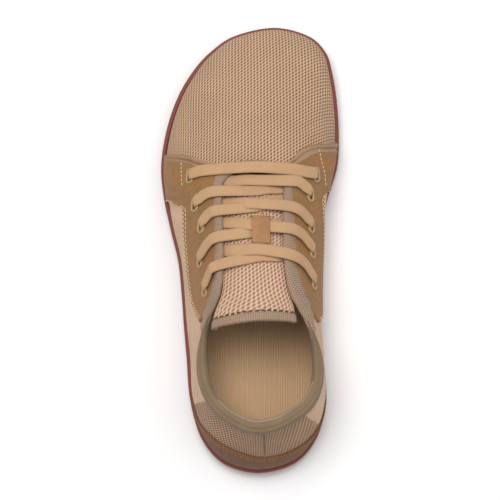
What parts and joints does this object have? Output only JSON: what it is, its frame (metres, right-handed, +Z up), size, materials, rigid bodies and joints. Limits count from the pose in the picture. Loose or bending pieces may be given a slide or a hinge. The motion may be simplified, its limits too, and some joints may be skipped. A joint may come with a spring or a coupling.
{
  "type": "barefoot shoe",
  "caption": "Left barefoot shoe with a thin rubber cup sole, wide toe box, low padded collar, suede overlays and flat crossed laces through oblong eyelets.",
  "frame": {"origin": "centre of the footprint's bounding box on the ground under the flat of the sole", "axes": "+Y heel to toe, +X to the inner (medial) side of the foot, +Z up"},
  "size_m": [0.1101, 0.275, 0.082],
  "materials": {
    "outsole_rubber": "matt moulded rubber, brick red",
    "upper_knit": "fine mesh knit, sand",
    "suede": "napped suede, tan",
    "taupe_lining": "taupe mesh cloth",
    "insole_cloth": "fine ribbed cloth",
    "lace_webbing": "flat woven webbing, straw",
    "keeper_leather": "smooth tan leather",
    "moulded_eyelet": "moulded, olive sand"
  },
  "bodies": {
    "root": {"outsole": "outsole_rubber", "insole": "insole_cloth", "upper": "upper_knit", "collar": "taupe_lining", "throat_binding": "taupe_lining", "eyestay_lateral": "suede", "eyestay_medial": "suede", "edge_strip_lateral": "taupe_lining", "edge_strip_medial": "taupe_lining", "heel_counter": "suede", "tongue": "upper_knit", "tongue_binding": "taupe_lining", "lace_bar": "lace_webbing", "lace_cross_1": "lace_webbing", "lace_cross_2": "lace_webbing", "lace_cross_3": "lace_webbing", "lace_cross_4": "lace_webbing", "lace_keeper": "keeper_leather", "eyelet_lateral_1": "moulded_eyelet", "eyelet_lateral_2": "moulded_eyelet", "eyelet_lateral_3": "moulded_eyelet", "eyelet_lateral_4": "moulded_eyelet", "eyelet_lateral_5": "moulded_eyelet", "eyelet_medial_1": "moulded_eyelet", "eyelet_medial_2": "moulded_eyelet", "eyelet_medial_3": "moulded_eyelet", "eyelet_medial_4": "moulded_eyelet", "eyelet_medial_5": "moulded_eyelet"}
  },
  "joints": []
}
